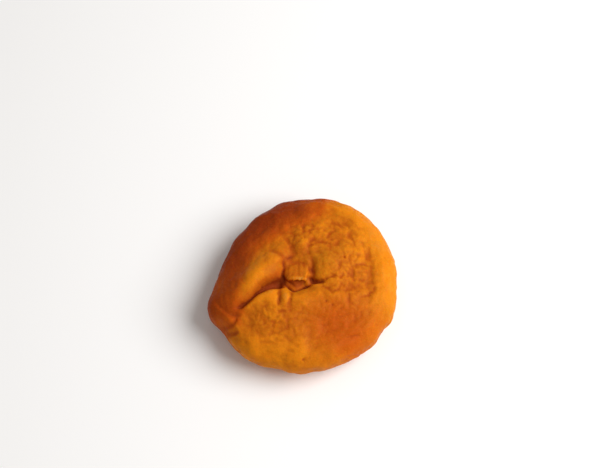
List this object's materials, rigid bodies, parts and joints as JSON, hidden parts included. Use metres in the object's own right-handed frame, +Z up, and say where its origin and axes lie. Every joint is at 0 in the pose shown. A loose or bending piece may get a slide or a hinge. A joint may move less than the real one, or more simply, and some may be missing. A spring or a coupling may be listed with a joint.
{
  "type": "dried peach",
  "caption": "Whole stoned peach dried into a flat, wrinkled cushion, with a nub of flesh at the stem end over a deep fold; it lies on its pressed back.",
  "frame": {"origin": "on the resting surface, under the middle of the bounding box", "axes": "+Z up out of the stem end, -Y the way the nub's open end points (the front), +X to the right"},
  "size_m": [0.0524, 0.0516, 0.0184],
  "materials": {
    "flesh": "soft dried fruit flesh, amber orange, satin with a faint sugary shine, redder in the folds"
  },
  "bodies": {
    "root": {"dried_peach": "flesh"}
  },
  "joints": []
}
